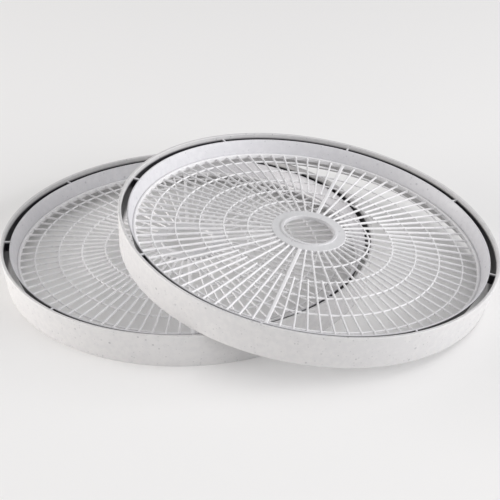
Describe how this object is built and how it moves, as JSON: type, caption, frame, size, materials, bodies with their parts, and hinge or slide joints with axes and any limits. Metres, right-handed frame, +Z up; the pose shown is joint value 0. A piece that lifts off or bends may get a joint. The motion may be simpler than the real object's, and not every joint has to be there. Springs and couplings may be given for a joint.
{
  "type": "food dehydrator tray pair",
  "caption": "Round stacking drying trays for a food dehydrator: ribbed domed floors in deep skirts, one tray flat and the other leaning on its rim.",
  "frame": {"origin": "on the table under the middle of the pair's bounding box", "axes": "+Z up; +X from the flat lower tray towards the leaning tray; the pair's long side along X"},
  "size_m": [0.4557, 0.3428, 0.0819],
  "materials": {
    "speckled_plastic": "satin off-white with fine grey specks"
  },
  "bodies": {
    "lower_tray": {"lower_channel_tabs": "speckled_plastic", "lower_floor_border": "speckled_plastic", "lower_floor_ring_1": "speckled_plastic", "lower_floor_ring_2": "speckled_plastic", "lower_floor_ring_3": "speckled_plastic", "lower_floor_ring_4": "speckled_plastic", "lower_floor_ring_5": "speckled_plastic", "lower_hub_collar": "speckled_plastic", "lower_hub_plate": "speckled_plastic", "lower_inner_wall": "speckled_plastic", "lower_long_ribs": "speckled_plastic", "lower_main_ribs": "speckled_plastic", "lower_outer_wall": "speckled_plastic", "lower_short_ribs": "speckled_plastic", "lower_stacking_rim": "speckled_plastic"},
    "leaning_tray": {"leaning_channel_tabs": "speckled_plastic", "leaning_floor_border": "speckled_plastic", "leaning_floor_ring_1": "speckled_plastic", "leaning_floor_ring_2": "speckled_plastic", "leaning_floor_ring_3": "speckled_plastic", "leaning_floor_ring_4": "speckled_plastic", "leaning_floor_ring_5": "speckled_plastic", "leaning_hub_collar": "speckled_plastic", "leaning_hub_plate": "speckled_plastic", "leaning_inner_wall": "speckled_plastic", "leaning_long_ribs": "speckled_plastic", "leaning_main_ribs": "speckled_plastic", "leaning_outer_wall": "speckled_plastic", "leaning_short_ribs": "speckled_plastic", "leaning_stacking_rim": "speckled_plastic"}
  },
  "joints": [
    {"name": "tray_lift", "type": "slide", "parent": "lower_tray", "child": "leaning_tray", "axis": [0, 0, 1], "range_m": [0, 0.12]}
  ]
}
